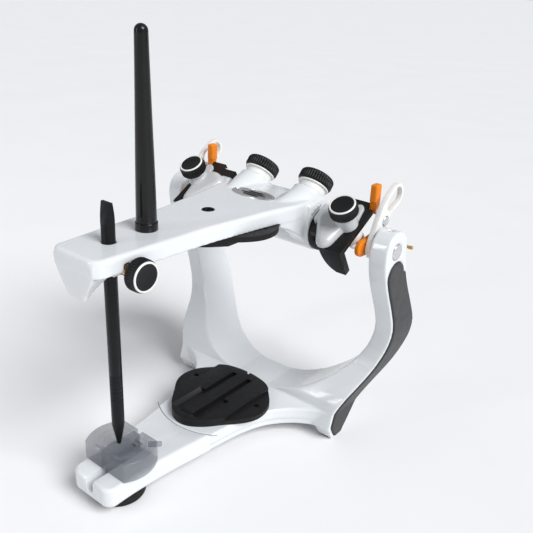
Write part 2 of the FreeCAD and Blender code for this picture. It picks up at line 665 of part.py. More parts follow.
def knob(radius, height, bore_length, spindle_r, flutes):
    """A knurled cap on z = 0 with a raised centre disc and a spindle below it."""
    cap = fluted_prism(radius, 0.35, flutes, 0, height - 0.8)
    centre = cylinder(radius * 0.77, Vector(0, 0, 0), Z_AXIS, height)
    spindle = cylinder(spindle_r, Vector(0, 0, -bore_length), Z_AXIS, bore_length)
    return fuse([cap, centre, spindle])


def knob_ring(radius, height):
    ring = cylinder(radius - 0.3, Vector(0, 0, height - 0.8), Z_AXIS, 1.0)
    return ring.cut(cylinder(radius * 0.77, Vector(0, 0, 0), Z_AXIS, height + 5))


def on_box(shape, side):
    """Stand a shape on the knob's boss of one box."""
    return placed_box(aimed(shape, Z_AXIS, Vector(CONDYLE_X, -KNOB_U, KNOB_BASE_V)), side)


def lock_lever(side):
    """The upright orange centric lock lever at the back of the box."""
    x = (58.5, 62.4)
    y, z = LOCK_PIVOT
    hub = cylinder(2.4, Vector(x[0], y, z), X_AXIS, x[1] - x[0])
    neck = block(x, (y - 1.9, y + 1.9), (z, z + 6))
    paddle = block((x[0] - 0.3, x[1]), (y - 2.8, y + 2.8), (z + 4.2, z + 14.4))
    paddle = round_edges(paddle, 1.0, lambda e: e.Length < 12)
    bore = cylinder(1.25, Vector(50, y, z), X_AXIS, 20)
    lever = at_axis(fuse([hub, neck, paddle]).cut(bore))
    return lever if side > 0 else mirrored(lever)


def lock_lever_pin(side):
    y, z = LOCK_PIVOT
    pin = cylinder(1.2, Vector(52.0, y, z), X_AXIS, 10.2)
    pin = at_axis(pin)
    return pin if side > 0 else mirrored(pin)


# ---------------------------------------------------------------- upper frame
ARM_SIDE = [(16.0, -140.0), (17.0, -126.0), (18.3, -105.0), (19.8, -80.0), (22.6, -59.0),
            (25.8, -38.0), (29.6, -22.0)]
REAR_KNOB_DIRECTION = Vector(0, math.sin(math.radians(REAR_KNOB_TILT)),
                             math.cos(math.radians(REAR_KNOB_TILT)))


def rear_knob_place(side, along):
    """A point on a rear clamp screw, along mm above the underside of its knob."""
    base = Vector(side * REAR_KNOB_X, AXIS_Y + REAR_KNOB_REL[0], AXIS_Z + REAR_KNOB_REL[1])
    return base + REAR_KNOB_DIRECTION * along


def arm_slab():
    right = [Vector(x, AXIS_Y + y, ARM_BOTTOM_Z) for x, y in ARM_SIDE]
    left = [Vector(-p.x, p.y, p.z) for p in right]
    corner = 6.0
    nose = [Vector(right[0].x - corner, ARM_FRONT_Y, ARM_BOTTOM_Z),
            Vector(left[0].x + corner, ARM_FRONT_Y, ARM_BOTTOM_Z)]
    edges = path(right, smooth=True) + path(left, smooth=True) + path(nose)
    for end, tip in ((right[0], nose[0]), (left[0], nose[1])):
        bulge = Vector(end.x - math.copysign(corner * 0.25, end.x),
                       ARM_FRONT_Y + corner * 0.3, ARM_BOTTOM_Z)
        edges.append(Part.Arc(end, bulge, tip).toShape())
    back_y = AXIS_Y - 3.0
    edges += path([right[-1], Vector(right[-1].x, back_y, ARM_BOTTOM_Z),
                   Vector(left[-1].x, back_y, ARM_BOTTOM_Z), left[-1]])
    slab = prism(edges, Vector(0, 0, ARM_THICK))
    return round_edges(slab, 2.0, lambda e: e.BoundBox.ZMin > TOP_Z - 0.1)


def nose_tongue():
    """The downturned front of the arm, narrowing to a blunt tip."""
    y = ARM_FRONT_Y
    side_x = 14.0
    drop = [(side_x, TOP_Z - 3.0), (13.0, TOP_Z - 8.5), (9.0, TOP_Z - 15.5), (5.4, TOP_Z - 21.8)]
    right = [Vector(x, y, z) for x, z in drop]
    left = [Vector(-x, y, z) for x, z in drop]
    edges = path(right, smooth=True) + path(left, smooth=True)
    edges += path([right[0], left[0]]) + path([right[-1], left[-1]])
    front = prism(edges, Vector(0, 30, 0))
    back_curve = [Vector(-40, y + 2.4, TOP_Z - 26), Vector(-40, y + 4.2, TOP_Z - 19),
                  Vector(-40, y + 8.5, TOP_Z - 12), Vector(-40, y + 17.0, TOP_Z - 7.5)]
    side = path(back_curve, smooth=True)
    side += path([back_curve[-1], Vector(-40, y + 17.0, TOP_Z - 2.0), Vector(-40, y, TOP_Z - 2.0),
                  Vector(-40, y + 0.8, TOP_Z - 26), back_curve[0]])
    return front.common(prism(side, Vector(80, 0, 0)))


def hinge_hump():
    """The egg-shaped back of the arm, which runs over the barrel from the top to the rear."""
    x = -BARREL_END_X
    front = [Vector(x, AXIS_Y, AXIS_Z), Vector(x, AXIS_Y - 12.0, AXIS_Z),
             Vector(x, AXIS_Y - 12.0, TOP_Z - 2.0)]
    rear = [(-12.0, TOP_Z - 2.0), (-3.0, TOP_Z - 0.4), (4.0, 140.6), (7.9, 138.0), (10.9, 133.6),
            (12.5, 128.0), (BARREL_R - 0.1, AXIS_Z)]
    rear = [Vector(x, AXIS_Y + y, z) for y, z in rear]
    edges = path(front) + path(rear, smooth=True) + path([rear[-1], front[0]])
    hump = prism(edges, Vector(2 * BARREL_END_X, 0, 0))
    return round_edges(hump, 1.5, lambda e: e.BoundBox.XLength < 0.1 and e.Length > 20)


def cheek(x):
    """The wall that carries the arm down to the barrel, arched underneath."""
    low = [Vector(x[0], AXIS_Y + y, AXIS_Z + z) for y, z in ((-44.0, 10.5), (-25.0, 4.6), (-11.6, -5.4))]
    arch = Part.Arc(low[0], low[1], low[2]).toShape()
    rest = path([low[2], Vector(x[0], AXIS_Y, AXIS_Z), Vector(x[0], AXIS_Y + 8.0, AXIS_Z + 10.0),
                 Vector(x[0], AXIS_Y, TOP_Z - 2.5), Vector(x[0], AXIS_Y - 44.0, TOP_Z - 2.5), low[0]])
    return prism([arch] + rest, Vector(x[1] - x[0], 0, 0))


def rear_horn(side):
    """The swelling that carries the arm's top up to one rear boss."""
    wires = []
    for (x, y, z), radius, lean in (((16.0, -40.0, 9.5), 4.5, 80), ((REAR_KNOB_X, -3.0, 15.5), 9.6, 50)):
        normal = Vector(0, math.sin(math.radians(lean)), math.cos(math.radians(lean)))
        circle = Part.Circle(Vector(side * x, AXIS_Y + y, AXIS_Z + z), normal, radius)
        wires.append(Part.Wire([circle.toShape()]))
    rim = Part.Circle(rear_knob_place(side, -6.0), REAR_KNOB_DIRECTION, 10.0)
    wires.append(Part.Wire([rim.toShape()]))
    return Part.makeLoft(wires, True, True)


def upper_frame():
    barrel = cylinder(BARREL_R, Vector(-BARREL_END_X, AXIS_Y, AXIS_Z), X_AXIS, 2 * BARREL_END_X)
    barrel = round_edges(barrel, 1.5, lambda e: e.BoundBox.XLength < 0.1)
    cheeks = [cheek(sorted((s * 20.0, s * BARREL_END_X))) for s in (1, -1)]
    envelope = arm_slab_envelope()
    bosses = [cylinder(10.2, rear_knob_place(s, -22), REAR_KNOB_DIRECTION, 22 - 4.8) for s in (1, -1)]
    horns = [rear_horn(s) for s in (1, -1)]
    body = [arm_slab(), nose_tongue(), barrel, hinge_hump()]
    frame = fuse(body + [c.common(envelope) for c in cheeks])
    for pair in (bosses, horns):
        frame = fuse([frame] + pair)
    plate_clear_z = ARM_BOTTOM_Z - PLATE_CLEAR_H
    cuts = [cylinder(PIN_R + 0.05, Vector(0, PIN_Y, 100), Z_AXIS, 60),
            block((-7.0, 22.0), (PIN_Y - 5.2, PIN_Y + 5.2), (100, ARM_BOTTOM_Z + 4.0)),
            cylinder(BORE_R, Vector(0, BORE_Y, TOP_Z - BORE_DEPTH), Z_AXIS, 10),
            cylinder(2.5, Vector(0, SUPPORT_Y, ARM_BOTTOM_Z + 1), Z_AXIS, 20),
            cylinder(13.0, Vector(0, PLATE_Y, ARM_BOTTOM_Z - 5), Z_AXIS, 9.0),
            cylinder(PLATE_CLEAR_R, Vector(0, PLATE_Y, plate_clear_z), Z_AXIS, PLATE_CLEAR_H),
            cylinder(1.95, Vector(0, PLATE_Y, ARM_BOTTOM_Z), Z_AXIS, 6.5)]
    for s in (1, -1):
        cuts.append(cylinder(6.05, Vector(s * 17.5, AXIS_Y, AXIS_Z), Vector(s, 0, 0), 20))
        cuts.append(cylinder(3.05, rear_knob_place(s, -16), REAR_KNOB_DIRECTION, 30))
    for cut in cuts:
        frame = frame.cut(cut)
    return frame


def arm_slab_envelope():
    """The plan of the arm, drawn tall, that keeps the cheeks inside the arm's outline."""
    right = [Vector(x - 0.4, AXIS_Y + y, 80) for x, y in ARM_SIDE]
    left = [Vector(-p.x, p.y, p.z) for p in right]
    edges = path(right, smooth=True) + path(left, smooth=True) + path([right[0], left[0]])
    back_y = AXIS_Y + 40
    edges += path([right[-1], Vector(right[-1].x + 0.4, AXIS_Y - 14, 80), Vector(BARREL_END_X, back_y, 80),
                   Vector(-BARREL_END_X, back_y, 80), Vector(left[-1].x - 0.4, AXIS_Y - 14, 80), left[-1]])
    return prism(edges, Vector(0, 0, 90))


def barrel_rings():
    ring = cylinder(RING_R, Vector(BARREL_END_X, AXIS_Y, AXIS_Z), X_AXIS, RING_END_X - BARREL_END_X)
    ring = round_edges(ring, 0.8, lambda e: e.BoundBox.XMin > RING_END_X - 0.1)
    return both_sides(ring.cut(cylinder(6.05, Vector(0, AXIS_Y, AXIS_Z), X_AXIS, 40)))


def badge_plate():
    ellipse = Part.Ellipse(Vector(0, AXIS_Y - 23.4, TOP_Z), 14.8, 6.5).toShape()
    plate = Part.Face(Part.Wire([ellipse])).extrude(Vector(0, 0, 0.8))
    return round_edges(plate, 0.4, lambda e: e.BoundBox.ZMin > TOP_Z + 0.7)


def revolved(profile, place):
    """Revolve (radius, height) pairs, smooth, about the vertical through place."""
    points = [Vector(r, 0, z) for r, z in profile]
    low, high = Vector(0, 0, points[0].z), Vector(0, 0, points[-1].z)
    edges = path(points, smooth=True) + path([points[-1], high, low, points[0]])
    face = Part.Face(Part.Wire(Part.__sortEdges__(edges)))
    solid = face.revolve(Vector(0, 0, 0), Z_AXIS, 360)
    solid.translate(place)
    return solid


def support_pin():
    """The long tapered rest pin, on which the opened upper frame stands."""
    height = SUPPORT_TOP_Z - TOP_Z
    body = revolved([(5.1, 0.0), (4.9, 12.0), (4.3, height * 0.42), (3.6, height * 0.72),
                     (3.1, height - 1.5)], Vector(0, SUPPORT_Y, TOP_Z))
    tip = Part.makeSphere(3.1, Vector(0, SUPPORT_Y, SUPPORT_TOP_Z - 3.1))
    body = body.common(cylinder(10, Vector(0, SUPPORT_Y, TOP_Z), Z_AXIS, height - 3.1)).fuse(tip)
    stud = cylinder(2.5, Vector(0, SUPPORT_Y, ARM_BOTTOM_Z + 1), Z_AXIS, ARM_THICK - 1)
    return body.fuse(stud).removeSplitter()


def support_ferrule():
    ferrule = cylinder(5.5, Vector(0, SUPPORT_Y, TOP_Z), Z_AXIS, 4.2)
    ferrule = round_edges(ferrule, 0.6, lambda e: e.BoundBox.ZMin > TOP_Z + 4.1)
    return ferrule.cut(support_pin())


def incisal_pin():
    """The straight pin with a cone below, a chisel end above and depth rings."""
    cone_z = PIN_TIP_Z + 12.0
    shank = cylinder(PIN_R, Vector(0, PIN_Y, cone_z), Z_AXIS, PIN_TOP_Z - cone_z)
    cone = Part.makeCone(1.0, PIN_R, cone_z - PIN_TIP_Z, Vector(0, PIN_Y, PIN_TIP_Z), Z_AXIS)
    pin = shank.fuse(cone)
    for s in (1, -1):
        wedge = [Vector(-10, PIN_Y + s * PIN_R, PIN_TOP_Z - 12), Vector(-10, PIN_Y + s * 0.7, PIN_TOP_Z),
                 Vector(-10, PIN_Y + s * 0.7, PIN_TOP_Z + 5), Vector(-10, PIN_Y + s * 9, PIN_TOP_Z + 5),
                 Vector(-10, PIN_Y + s * 9, PIN_TOP_Z - 12)]
        pin = pin.cut(polygon_prism(wedge, Vector(20, 0, 0)))
    ring = cylinder(PIN_R + 1, Vector(0, PIN_Y, 0), Z_AXIS, 0.4).cut(
        cylinder(PIN_R - 0.15, Vector(0, PIN_Y, 0), Z_AXIS, 0.4))
    for i in range(7):
        mark = ring.copy()
        mark.translate(Vector(0, 0, PIN_SCALE_Z + 2.2 * i))
        pin = pin.cut(mark)
    return pin


def pin_clamp():
    """The block in the arm that holds the incisal pin."""
    body = block((-6.8, 8.5), (PIN_Y - 4.9, PIN_Y + 4.9), (128.0, ARM_BOTTOM_Z + 3.9))
    body = round_edges(body, 1.2, lambda e: e.BoundBox.ZLength < 0.1 and e.BoundBox.ZMax < 128.1)
    body = body.cut(cylinder(PIN_R + 0.05, Vector(0, PIN_Y, 100), Z_AXIS, 60))
    return body.cut(cylinder(2.05, Vector(0, PIN_Y, PIN_KNOB_Z), X_AXIS, 20))


def pin_bush():
    bush = cylinder(3.3, Vector(8.5, PIN_Y, PIN_KNOB_Z), X_AXIS, PIN_KNOB_X - GAP - 8.5)
    return bush.cut(cylinder(2.05, Vector(0, PIN_Y, PIN_KNOB_Z), X_AXIS, 40))


def on_pin_screw(shape):
    return aimed(shape, X_AXIS, Vector(PIN_KNOB_X, PIN_Y, PIN_KNOB_Z))


def rear_knob_cap():
    cap = fluted_prism(REAR_KNOB_R, 0.35, 60, 0, REAR_KNOB_H - 0.6)
    crown = cylinder(REAR_KNOB_R - 0.5, Vector(0, 0, 0), Z_AXIS, REAR_KNOB_H)
    crown = round_edges(crown, 1.0, lambda e: e.BoundBox.ZMin > REAR_KNOB_H - 0.1)
    spindle_hole = cylinder(3.0, Vector(0, 0, -1), Z_AXIS, 4)
    return fuse([cap, crown]).cut(spindle_hole)


def rear_knob_collar():
    """The white collar under the knob and the steel-cored clamp spindle."""
    rim = cylinder(REAR_KNOB_R - 0.9, Vector(0, 0, -0.8), Z_AXIS, 0.8)
    neck = cylinder(8.2, Vector(0, 0, -4.5), Z_AXIS, 4.5)
    neck = round_edges(neck, 0.5, lambda e: e.BoundBox.ZMax < -4.4)
    spindle = cylinder(3.0, Vector(0, 0, -15.7), Z_AXIS, 18.7)
    return fuse([rim, neck, spindle])


def on_rear_screw(shape, side):
    return aimed(shape, REAR_KNOB_DIRECTION, rear_knob_place(side, 0))


# ---------------------------------------------------------------- the assembly
SIDES = {"left": -1, "right": 1}


def articulator():
    nodes = {
        "lower_frame": lower_frame(),
        "front_beam": front_beam(),
        "tie_plate": tie_plate(),
        "tie_screws": tie_screws(),
        "front_foot": front_foot(),
        "rear_foot_pads": rear_foot_pads(),
        "lower_magnet": on_deck(magnet_disc()),
        "lower_magnet_screw": on_deck(magnet_screw(8.0)),
        "lower_mounting_plate": on_deck(mounting_plate()),
        "post_discs": post_discs(),
        "post_set_screws": post_set_screws(),
        "shaft_washers": shaft_washers(),
        "incisal_table": incisal_table(),
        "table_rail": table_rail(),
        "table_peg": table_peg(),
        "upper_frame": upper_frame(),
        "barrel_rings": barrel_rings(),
        "badge_plate": badge_plate(),
        "support_pin": support_pin(),
        "support_ferrule": support_ferrule(),
        "upper_magnet": under_arm(magnet_disc()),
        "upper_magnet_screw": under_arm(magnet_screw(3.4)),
        "upper_mounting_plate": under_arm(mounting_plate()),
        "incisal_pin": incisal_pin(),
        "pin_clamp": pin_clamp(),
        "pin_bush": pin_bush(),
        "pin_knob": on_pin_screw(knob(KNOB_R, KNOB_H, PIN_KNOB_X - PIN_R - 0.4, 2.0, 48)),
        "pin_knob_ring": on_pin_screw(knob_ring(KNOB_R, KNOB_H)),
    }
    spindle_length = KNOB_BASE_V - ROOF_V[0]
    for word, side in SIDES.items():
        nodes["side_grip_" + word] = side_grip(side)
        nodes["condyle_shaft_" + word] = condyle_shaft(side)
        nodes["quick_lever_" + word] = quick_lever(side)
        nodes["lever_rivet_" + word] = lever_rivet(side)
        nodes["stop_pin_" + word] = stop_pin(side)
        nodes["rocker_" + word] = rocker(side)
        nodes["fossa_box_" + word] = fossa_box(side)
        nodes["fossa_insert_" + word] = fossa_insert(side)
        nodes["box_housing_" + word] = box_housing(side)
        nodes["box_knob_" + word] = on_box(knob(KNOB_R, KNOB_H, spindle_length, 2.0, 48), side)
        nodes["box_knob_ring_" + word] = on_box(knob_ring(KNOB_R, KNOB_H), side)
        nodes["lock_lever_" + word] = lock_lever(side)
        nodes["lock_lever_pin_" + word] = lock_lever_pin(side)
        nodes["rear_knob_cap_" + word] = on_rear_screw(rear_knob_cap(), side)
        nodes["rear_knob_collar_" + word] = on_rear_screw(rear_knob_collar(), side)
    return nodes


def main():
    os.makedirs("parts", exist_ok=True)
    for name, shape in articulator().items():
        shape.exportStep("parts/%s.step" % name)
        box = shape.BoundBox
        print("%-24s %d solids, valid %s, %.0f mm3, X %.1f..%.1f Y %.1f..%.1f Z %.1f..%.1f" % (
            name, len(shape.Solids), shape.isValid(), shape.Volume,
            box.XMin, box.XMax, box.YMin, box.YMax, box.ZMin, box.ZMax))


main()
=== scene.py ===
"""Looks of the dental articulator: materials, fine pieces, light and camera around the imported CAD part."""
import bmesh
import bpy
import json
import math
from mathutils import Matrix, Vector


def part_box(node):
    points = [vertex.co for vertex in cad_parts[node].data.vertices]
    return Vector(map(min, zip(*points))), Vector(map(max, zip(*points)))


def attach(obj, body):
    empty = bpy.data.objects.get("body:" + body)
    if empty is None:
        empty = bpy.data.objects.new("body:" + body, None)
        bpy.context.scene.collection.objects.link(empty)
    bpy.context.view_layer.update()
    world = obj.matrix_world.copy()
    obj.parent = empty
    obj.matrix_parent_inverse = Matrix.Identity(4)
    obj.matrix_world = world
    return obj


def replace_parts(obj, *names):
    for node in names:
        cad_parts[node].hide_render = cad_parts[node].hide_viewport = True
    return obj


MM = 0.001
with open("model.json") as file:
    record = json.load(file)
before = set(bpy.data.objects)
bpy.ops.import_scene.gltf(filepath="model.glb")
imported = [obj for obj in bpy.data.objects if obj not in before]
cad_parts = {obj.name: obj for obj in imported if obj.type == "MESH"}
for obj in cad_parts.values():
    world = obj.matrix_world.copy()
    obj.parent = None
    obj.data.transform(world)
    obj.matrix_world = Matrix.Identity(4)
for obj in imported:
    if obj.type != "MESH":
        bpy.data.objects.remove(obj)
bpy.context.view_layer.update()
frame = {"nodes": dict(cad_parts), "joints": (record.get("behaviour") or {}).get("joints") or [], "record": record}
SIDES = {"left": -1, "right": 1}


# ---------------------------------------------------------------- places, worked out from the frame
def middle(node):
    low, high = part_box(node)
    return (low + high) / 2


AXIS = middle("condyle_shaft_right")
AXIS.x = 0.0
DECK_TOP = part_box("lower_mounting_plate")[0].z / MM       # in mm, as the seam is
ARM_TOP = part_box("support_ferrule")[0].z


# ---------------------------------------------------------------- camera
CAMERA_ANGLES = (37.57, 23.59, 2.78)       # azimuth, elevation and roll in degrees
CAMERA_LENS = 45.35
CAMERA_PLACE = (228.9, -305.5, 133.1)      # from the middle of the condylar axis, in mm


def make_camera():
    """A camera that looks down on the object from its front right, from a little above."""
    azimuth, elevation, roll = (math.radians(a) for a in CAMERA_ANGLES)
    back = Vector((math.sin(azimuth) * math.cos(elevation),
                   -math.cos(azimuth) * math.cos(elevation), math.sin(elevation)))
    level_right = Vector((math.cos(azimuth), math.sin(azimuth), 0))
    level_up = back.cross(level_right)
    right = math.cos(roll) * level_right + math.sin(roll) * level_up
    up = -math.sin(roll) * level_right + math.cos(roll) * level_up
    camera = bpy.data.objects.new("camera", bpy.data.cameras.new("camera"))
    camera.data.lens = CAMERA_LENS
    camera.data.clip_start = 0.01
    turn = Matrix((right, up, back)).transposed().to_4x4()
    camera.matrix_world = Matrix.Translation(AXIS + Vector(CAMERA_PLACE) * MM) @ turn
    bpy.context.scene.collection.objects.link(camera)
    bpy.context.scene.camera = camera


make_camera()


# ---------------------------------------------------------------- materials
class Recipe:
    """A node material in the making: a Principled shader with helpers for its detail."""

    def __init__(self, name, color, roughness, metallic=0.0):
        self.material = bpy.data.materials.new(name)
        self.material.use_nodes = True
        self.nodes = self.material.node_tree.nodes
        self.links = self.material.node_tree.links
        self.shader = self.nodes["Principled BSDF"]
        self.shader.inputs["Base Color"].default_value = (*color, 1)
        self.shader.inputs["Roughness"].default_value = roughness
        self.shader.inputs["Metallic"].default_value = metallic
        self.coordinates = self.nodes.new("ShaderNodeTexCoord").outputs["Object"]
        self.height = None

    def set(self, socket, value):
        self.shader.inputs[socket].default_value = value
        return self

    def noise(self, scale, detail=4.0, stretch=(1, 1, 1), roughness=0.55):
        mapping = self.nodes.new("ShaderNodeMapping")
        mapping.inputs["Scale"].default_value = stretch
        texture = self.nodes.new("ShaderNodeTexNoise")
        texture.inputs["Scale"].default_value = scale
        texture.inputs["Detail"].default_value = detail
        texture.inputs["Roughness"].default_value = roughness
        self.links.new(self.coordinates, mapping.inputs["Vector"])
        self.links.new(mapping.outputs["Vector"], texture.inputs["Vector"])
        return texture.outputs["Fac"]

    def cells(self, scale):
        texture = self.nodes.new("ShaderNodeTexVoronoi")
        texture.inputs["Scale"].default_value = scale
        self.links.new(self.coordinates, texture.inputs["Vector"])
        return texture.outputs["Distance"]

    def remap(self, value, low, high, from_low=0.3, from_high=0.7):
        ramp = self.nodes.new("ShaderNodeMapRange")
        ramp.inputs["From Min"].default_value = from_low
        ramp.inputs["From Max"].default_value = from_high
        ramp.inputs["To Min"].default_value = low
        ramp.inputs["To Max"].default_value = high
        self.links.new(value, ramp.inputs["Value"])
        return ramp.outputs["Result"]

    def tint(self, value, first, second):
        """Colour the surface between two colours by a 0 to 1 value."""
        mix = self.nodes.new("ShaderNodeMix")
        mix.data_type = "RGBA"
        mix.inputs["A"].default_value = (*first, 1)
        mix.inputs["B"].default_value = (*second, 1)
        self.links.new(value, mix.inputs["Factor"])
        self.links.new(mix.outputs["Result"], self.shader.inputs["Base Color"])
        return self

    def sheen_of(self, value, low, high):
        """Vary the roughness between low and high."""
        self.links.new(self.remap(value, low, high), self.shader.inputs["Roughness"])
        return self

    def bump(self, value, strength, distance):
        node = self.nodes.new("ShaderNodeBump")
        node.inputs["Strength"].default_value = strength
        node.inputs["Distance"].default_value = distance
        self.links.new(value, node.inputs["Height"])
        if self.height:
            self.links.new(self.height, node.inputs["Normal"])
        self.height = node.outputs["Normal"]
        self.links.new(self.height, self.shader.inputs["Normal"])
        return self


def frame_paint():
    m = Recipe("frame paint", (0.72, 0.74, 0.765), 0.22)
    m.set("Coat Weight", 0.5).set("Coat Roughness", 0.06)
    cloud = m.remap(m.noise(45, 4), 0, 1)
    m.tint(cloud, (0.73, 0.755, 0.775), (0.70, 0.725, 0.75))
    m.sheen_of(m.noise(240, 6), 0.17, 0.28)
    return m.bump(m.noise(1500, 2), 0.08, 0.0002).material


def grey_paint():
    m = Recipe("grey paint", (0.52, 0.535, 0.54), 0.35)
    m.set("Coat Weight", 0.25).set("Coat Roughness", 0.15)
    m.tint(m.remap(m.noise(130, 5), 0, 1), (0.54, 0.55, 0.555), (0.49, 0.50, 0.51))
    m.sheen_of(m.noise(400, 6), 0.25, 0.42)
    return m.bump(m.noise(2200, 2), 0.12, 0.0002).material


def black_paint():
    m = Recipe("black paint", (0.003, 0.003, 0.0035), 0.2)
    m.set("Specular IOR Level", 0.35)
    m.tint(m.remap(m.noise(180, 5), 0, 1), (0.0026, 0.0026, 0.003), (0.004, 0.004, 0.0045))
    m.sheen_of(m.noise(350, 6), 0.16, 0.3)
    return m.bump(m.noise(1800, 2), 0.06, 0.0002).material


def black_aluminium():
    m = Recipe("black aluminium", (0.012, 0.012, 0.013), 0.38, metallic=0.6)
    turned = m.noise(900, 3, stretch=(0.2, 0.2, 4))
    m.tint(m.remap(turned, 0, 1), (0.010, 0.010, 0.011), (0.016, 0.016, 0.0175))
    m.set("Specular IOR Level", 0.3)
    m.sheen_of(m.noise(500, 5), 0.3, 0.42)
    return m.bump(turned, 0.08, 0.0001).material


def steel():
    m = Recipe("steel", (0.55, 0.55, 0.56), 0.28, metallic=1.0)
    brushed = m.noise(700, 4, stretch=(8, 1, 1))
    m.tint(m.remap(brushed, 0, 1), (0.80, 0.80, 0.81), (0.62, 0.62, 0.63))
    m.sheen_of(brushed, 0.18, 0.4)
    return m.bump(brushed, 0.12, 0.0001).material


def aluminium():
    m = Recipe("aluminium", (0.72, 0.72, 0.73), 0.36, metallic=1.0)
    milled = m.noise(600, 4, stretch=(1, 6, 1))
    m.tint(m.remap(milled, 0, 1), (0.72, 0.72, 0.73), (0.55, 0.55, 0.57))
    m.sheen_of(m.noise(500, 5), 0.28, 0.46)
    return m.bump(milled, 0.12, 0.0001).material


def brass():
    m = Recipe("brass", (0.72, 0.48, 0.18), 0.3, metallic=1.0)
    turned = m.noise(800, 4, stretch=(6, 1, 1))
    m.tint(m.remap(turned, 0, 1), (0.75, 0.50, 0.19), (0.55, 0.34, 0.12))
    m.sheen_of(turned, 0.2, 0.42)
    return m.bump(turned, 0.12, 0.0001).material


def foot_rubber():
    m = Recipe("foot rubber", (0.008, 0.008, 0.008), 0.75)
    m.set("Specular IOR Level", 0.3)
    m.tint(m.remap(m.noise(200, 6), 0, 1), (0.006, 0.006, 0.006), (0.010, 0.010, 0.0095))
    m.sheen_of(m.noise(500, 5), 0.62, 0.88)
    return m.bump(m.cells(1600), 0.25, 0.0002).material


def grip_rubber():
    m = Recipe("grip rubber", (0.045, 0.045, 0.047), 0.5)
    m.set("Specular IOR Level", 0.3)
    m.tint(m.remap(m.noise(90, 5), 0, 1), (0.043, 0.043, 0.045), (0.050, 0.050, 0.052))
    m.sheen_of(m.noise(260, 6), 0.44, 0.56)
    return m.bump(m.cells(1400), 0.10, 0.0002).material


def black_plastic():
    m = Recipe("black plastic", (0.005, 0.005, 0.0055), 0.5)
    m.set("Specular IOR Level", 0.28)
    m.tint(m.remap(m.noise(150, 6), 0, 1), (0.0045, 0.0045, 0.005), (0.006, 0.006, 0.0065))
    m.sheen_of(m.noise(420, 6), 0.4, 0.54)
    return m.bump(m.cells(1900), 0.12, 0.00015).material


def white_plastic():
    m = Recipe("white plastic", (0.80, 0.80, 0.78), 0.35)
    m.set("Subsurface Weight", 0.05).set("Subsurface Scale", 0.002)
    m.tint(m.remap(m.noise(160, 5), 0, 1), (0.82, 0.82, 0.80), (0.74, 0.74, 0.72))
    m.sheen_of(m.noise(380, 6), 0.26, 0.44)
    return m.bump(m.noise(1900, 2), 0.08, 0.0002).material


def orange_plastic():
    m = Recipe("orange plastic", (0.82, 0.235, 0.006), 0.4)
    m.set("Specular IOR Level", 0.3)
    m.tint(m.remap(m.noise(170, 5), 0, 1), (0.84, 0.245, 0.006), (0.74, 0.19, 0.005))
    m.sheen_of(m.noise(380, 6), 0.28, 0.46)
    return m.bump(m.noise(1900, 2), 0.10, 0.0002).material


def smoky_plastic():
    m = Recipe("smoky plastic", (0.20, 0.215, 0.245), 0.08)
    m.set("Alpha", 0.42).set("Specular IOR Level", 0.6)
    m.tint(m.remap(m.noise(120, 5), 0, 1), (0.19, 0.205, 0.235), (0.215, 0.23, 0.26))
    m.sheen_of(m.noise(420, 6), 0.06, 0.14)
    return m.bump(m.noise(1300, 2), 0.03, 0.0001).material


MATERIALS = {recipe.__name__: recipe() for recipe in (
    frame_paint, grey_paint, black_paint, black_aluminium, steel, aluminium, brass, foot_rubber,
    grip_rubber, black_plastic, white_plastic, orange_plastic, smoky_plastic)}


# ---------------------------------------------------------------- dressing the CAD nodes
# bevel of the sharp edges in mm
EDGE_WIDTH = {"front_beam": 0.9, "support_pin": 0.2, "lower_mounting_plate": 0.25,
              "upper_mounting_plate": 0.25, "quick_lever": 0.5, "rocker": 0.4, "lock_lever": 0.35,
              "fossa_box": 0.5, "fossa_insert": 0.3, "incisal_table": 0.3}
PLAIN_EDGE = 0.15
# cast and moulded pieces whose surfaces run into each other: (grain in mm, smoothing passes)
CASTINGS = {"upper_frame": (0.5, 12), "lower_frame": (0.6, 8), "box_housing": (0.35, 12),
            "side_grip": (0.45, 6)}
FLAT_ANGLE = 0.5           # faces that turn by fewer degrees than this are joined into one
SHARP_ANGLE = 35           # edges that turn by more degrees than this are bevelled
SEAM_MERGE = 1e-6          # faces of a node share their vertices when closer than this, in metres


def blend_as_casting(obj, grain, passes):
    """Round every inner and outer corner of a casting, as its mould does."""
    remesh = obj.modifiers.new("grain", "REMESH")
    remesh.mode = "VOXEL"
    remesh.voxel_size = grain * MM
    remesh.use_smooth_shade = True
    smooth = obj.modifiers.new("blend", "SMOOTH")
    smooth.factor = 0.5
    smooth.iterations = passes


def soften(obj, width):
    """Round the sharp edges of a moulded or machined piece."""
    flatten = obj.modifiers.new("flatten", "DECIMATE")
    flatten.decimate_type = "DISSOLVE"
    flatten.angle_limit = math.radians(FLAT_ANGLE)
    edge = obj.modifiers.new("edge", "BEVEL")
    edge.width = width
    edge.segments = 3
    edge.limit_method = "ANGLE"
    edge.angle_limit = math.radians(SHARP_ANGLE)
    edge.use_clamp_overlap = True
    edge.harden_normals = True


def dress_cad_nodes():
    """Give every CAD node the material of its slot, smooth shading and edges of its kind."""
    for part in frame["record"]["subparts"]:
        node = frame["nodes"][part["node"]]
        kind = part["node"].removesuffix("_left").removesuffix("_right")
        node.data.materials.clear()
        node.data.materials.append(MATERIALS[part["material_slot"]])
        for polygon in node.data.polygons:
            polygon.use_smooth = True
        weld = node.modifiers.new("weld", "WELD")
        weld.merge_threshold = SEAM_MERGE
        if kind in CASTINGS:
            blend_as_casting(node, *CASTINGS[kind])
        else:
            soften(node, EDGE_WIDTH.get(kind, PLAIN_EDGE) * MM)


dress_cad_nodes()


# ---------------------------------------------------------------- mesh helpers
CREASE_ANGLE = 40          # edges that turn by more degrees than this are shaded sharp


